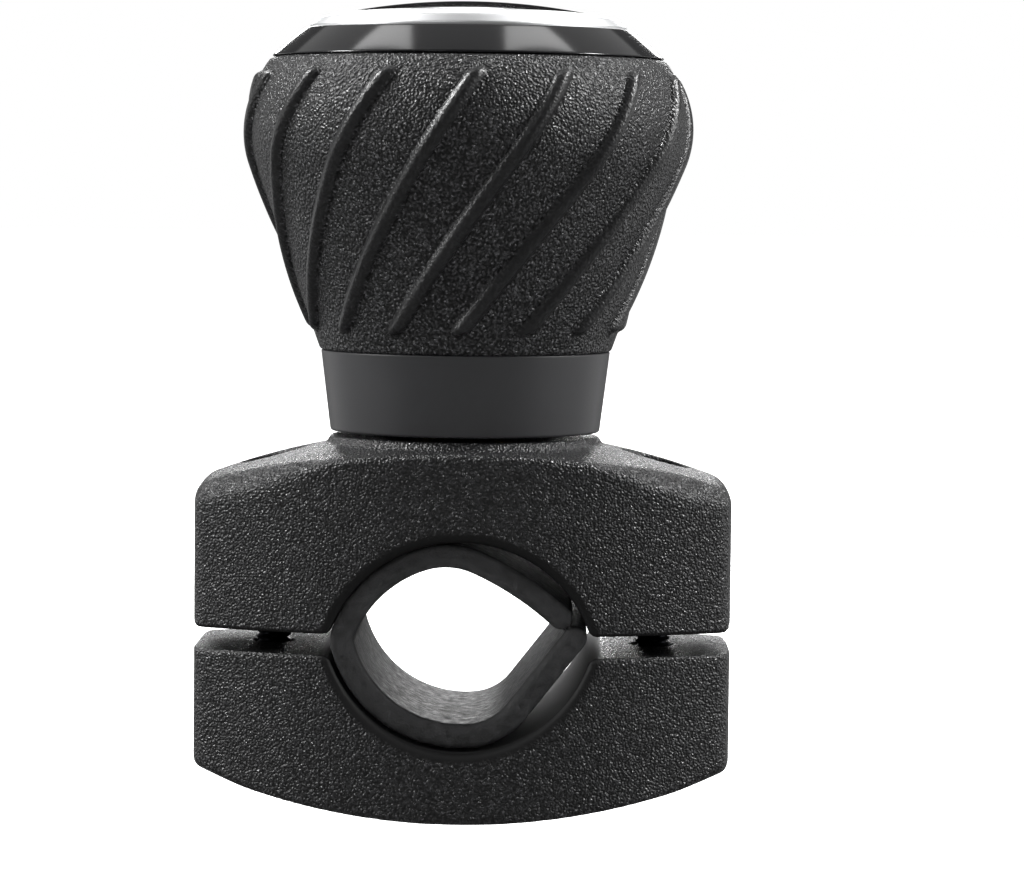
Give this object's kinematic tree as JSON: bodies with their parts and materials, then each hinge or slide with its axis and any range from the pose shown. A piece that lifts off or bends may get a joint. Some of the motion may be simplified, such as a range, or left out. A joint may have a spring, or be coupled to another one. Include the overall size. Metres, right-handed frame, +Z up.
{
  "type": "steering wheel spinner knob",
  "caption": "Turning grip on a spindle over a two-jaw clamp with a rubber liner, for one-handed turning of a wheel rim.",
  "frame": {"origin": "centre of the rim seat, on the knob's axis, midway between the two jaws' parting faces", "axes": "+Z up the knob's axis, +Y along the rim that the clamp holds, +X towards the liner's free ends"},
  "size_m": [0.0594, 0.05, 0.0895],
  "materials": {
    "jaw_nylon": "black moulded nylon with a fine pebble grain",
    "liner_rubber": "black moulded rubber, dull",
    "black_steel": "black oxide",
    "zinc_steel": "bright zinc plate",
    "spacer_brass": "turned",
    "turned_aluminium": "turned",
    "spring_steel": "phosphated, dark",
    "bearing_steel": "ground and polished",
    "cage_nylon": "natural moulded nylon",
    "core_plastic": "dark satin moulded plastic",
    "grip_rubber": "black, pebble grained",
    "bezel_gloss": "piano black",
    "trim_chrome": "bright plated",
    "cap_gloss": "gloss black, bare"
  },
  "bodies": {
    "base": {"clamp_upper": "jaw_nylon", "rim_liner": "liner_rubber", "spindle_bolt": "zinc_steel", "base_spacer": "spacer_brass", "inner_spacer": "spacer_brass", "top_washer": "zinc_steel", "lock_nut": "zinc_steel", "lower_bearing_inner_race": "bearing_steel", "upper_bearing_inner_race": "bearing_steel"},
    "jaw": {"clamp_lower": "jaw_nylon", "clamp_nut_left": "zinc_steel", "clamp_nut_right": "zinc_steel"},
    "screw_left": {"clamp_screw_left": "black_steel"},
    "screw_right": {"clamp_screw_right": "black_steel"},
    "knob": {"knob_core": "core_plastic", "grip_sleeve": "grip_rubber", "bezel": "bezel_gloss", "trim_ring": "trim_chrome", "top_cap": "cap_gloss", "outer_spacer": "turned_aluminium", "retaining_ring": "spring_steel", "lower_bearing_outer_race": "bearing_steel", "upper_bearing_outer_race": "bearing_steel", "lower_bearing_shields": "zinc_steel", "upper_bearing_shields": "zinc_steel"},
    "lower_train": {"lower_bearing_balls": "bearing_steel", "lower_bearing_cage": "cage_nylon"},
    "upper_train": {"upper_bearing_balls": "bearing_steel", "upper_bearing_cage": "cage_nylon"}
  },
  "joints": [
    {"name": "knob_spin", "type": "hinge", "parent": "base", "child": "knob", "pos_m": [0, 0, 0.035], "axis": [0, 0, 1], "continuous": true},
    {"name": "lower_train_turn", "type": "hinge", "parent": "base", "child": "lower_train", "pos_m": [0, 0, 0.02825], "axis": [0, 0, 1], "continuous": true},
    {"name": "upper_train_turn", "type": "hinge", "parent": "base", "child": "upper_train", "pos_m": [0, 0, 0.04885], "axis": [0, 0, 1], "continuous": true},
    {"name": "clamp_open", "type": "slide", "parent": "base", "child": "jaw", "axis": [0, 0, -1], "range_m": [0, 0.0085]},
    {"name": "screw_left_turn", "type": "hinge", "parent": "base", "child": "screw_left", "pos_m": [-0.0212, 0, 0.01105], "axis": [0, 0, 1], "range_deg": [0, 4400]},
    {"name": "screw_right_turn", "type": "hinge", "parent": "base", "child": "screw_right", "pos_m": [0.0212, 0, 0.01105], "axis": [0, 0, 1], "range_deg": [0, 4400]}
  ],
  "couplings": [
    {"joint": "lower_train_turn", "follows": "knob_spin", "ratio": 0.632},
    {"joint": "upper_train_turn", "follows": "knob_spin", "ratio": 0.632},
    {"joint": "screw_left_turn", "follows": "clamp_open", "rad_per_m": 8976},
    {"joint": "screw_right_turn", "follows": "clamp_open", "rad_per_m": 8976}
  ]
}
